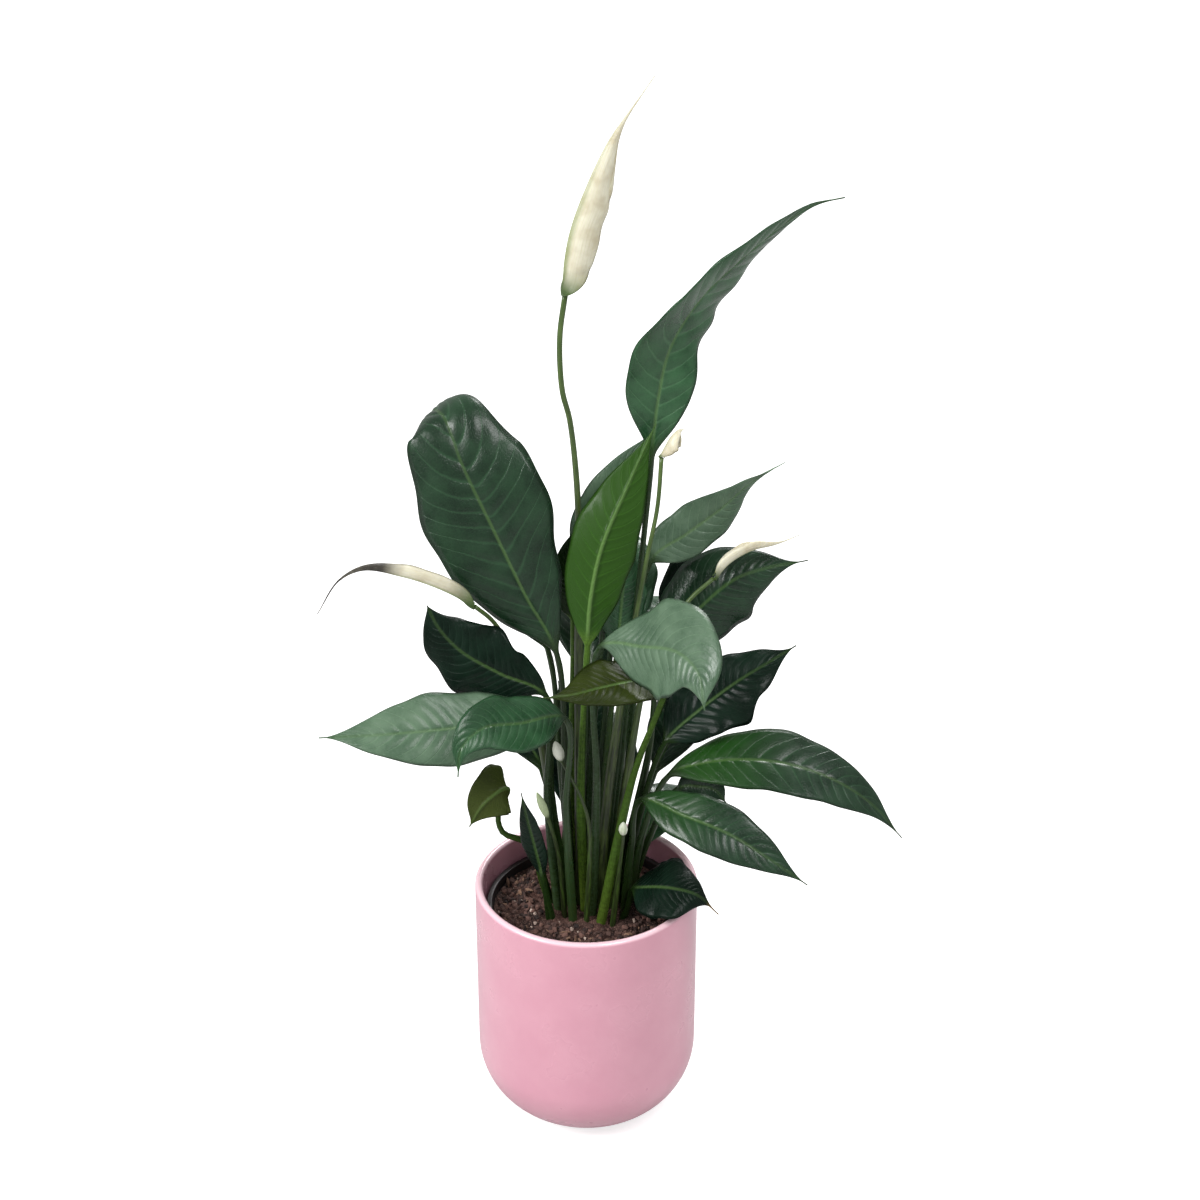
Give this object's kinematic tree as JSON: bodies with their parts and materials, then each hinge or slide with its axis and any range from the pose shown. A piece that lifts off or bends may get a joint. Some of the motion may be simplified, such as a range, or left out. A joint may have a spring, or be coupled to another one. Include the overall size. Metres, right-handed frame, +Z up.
{
  "type": "potted peace lily",
  "caption": "Peace lily plant with long glossy leaves, pale hooded flowers and buds, rooted in a nursery pot inside a round glazed cover pot with a rounded foot.",
  "frame": {"origin": "centre of the pot's flat base, on the surface it stands on", "axes": "+Z up, out of the pot towards the flowers; -Y is the front, where two leaves droop over the stalks; +X to the right seen from the front"},
  "size_m": [0.3252, 0.2434, 0.6291],
  "materials": {
    "glaze": "smooth pink glaze, glossy, with a paler line along the rim",
    "nursery_plastic": "thin charcoal plastic, satin",
    "potting_mix": "moist brown peat mix with bark crumbs and pale perlite grains",
    "leaf": "waxy dark green upper side, paler underside, raised midrib and sunk side veins",
    "flower_stalk": "smooth olive green stalk",
    "spathe": "cream, soft sheen, greenish at the foot",
    "spadix": "matt pale yellow-green, knobbly",
    "bud": "pale green to grey-white, soft sheen"
  },
  "bodies": {
    "root": {"pot": "glaze", "nursery_pot": "nursery_plastic", "soil": "potting_mix", "leaf_tall_right": "leaf", "leaf_tall_mid": "leaf", "leaf_tall_back": "leaf", "leaf_big_left": "leaf", "leaf_left_mid": "leaf", "leaf_left_low": "leaf", "leaf_front_left": "leaf", "leaf_front_centre": "leaf", "leaf_front_right": "leaf", "leaf_right_dark": "leaf", "leaf_upper_right": "leaf", "leaf_right_mid": "leaf", "leaf_back_right": "leaf", "leaf_centre_back": "leaf", "leaf_tip_mid": "leaf", "leaf_right_low": "leaf", "leaf_right_front": "leaf", "leaf_right_small": "leaf", "leaf_left_small": "leaf", "leaf_pot_right": "leaf", "leaf_rear_high_left": "leaf", "leaf_rear_high": "leaf", "leaf_rear_centre": "leaf", "leaf_rear_high_right": "leaf", "leaf_rear_low_left": "leaf", "leaf_rear_low_right": "leaf", "leaf_rear_low": "leaf", "leaf_rear_pot_right": "leaf", "leaf_inner_rear": "leaf", "leaf_inner_rear_right": "leaf", "leaf_inner_rear_left": "leaf", "leaf_inner_left": "leaf", "flower_tall_stalk": "flower_stalk", "flower_tall_spathe": "spathe", "flower_tall_spadix": "spadix", "flower_small_stalk": "flower_stalk", "flower_small_spathe": "spathe", "flower_small_spadix": "spadix", "flower_left_stalk": "flower_stalk", "flower_left_spathe": "spathe", "flower_left_spadix": "spadix", "flower_right_stalk": "flower_stalk", "flower_right_spathe": "spathe", "flower_right_spadix": "spadix", "bud_front": "bud", "bud_left": "bud", "bud_right": "bud"}
  },
  "joints": []
}
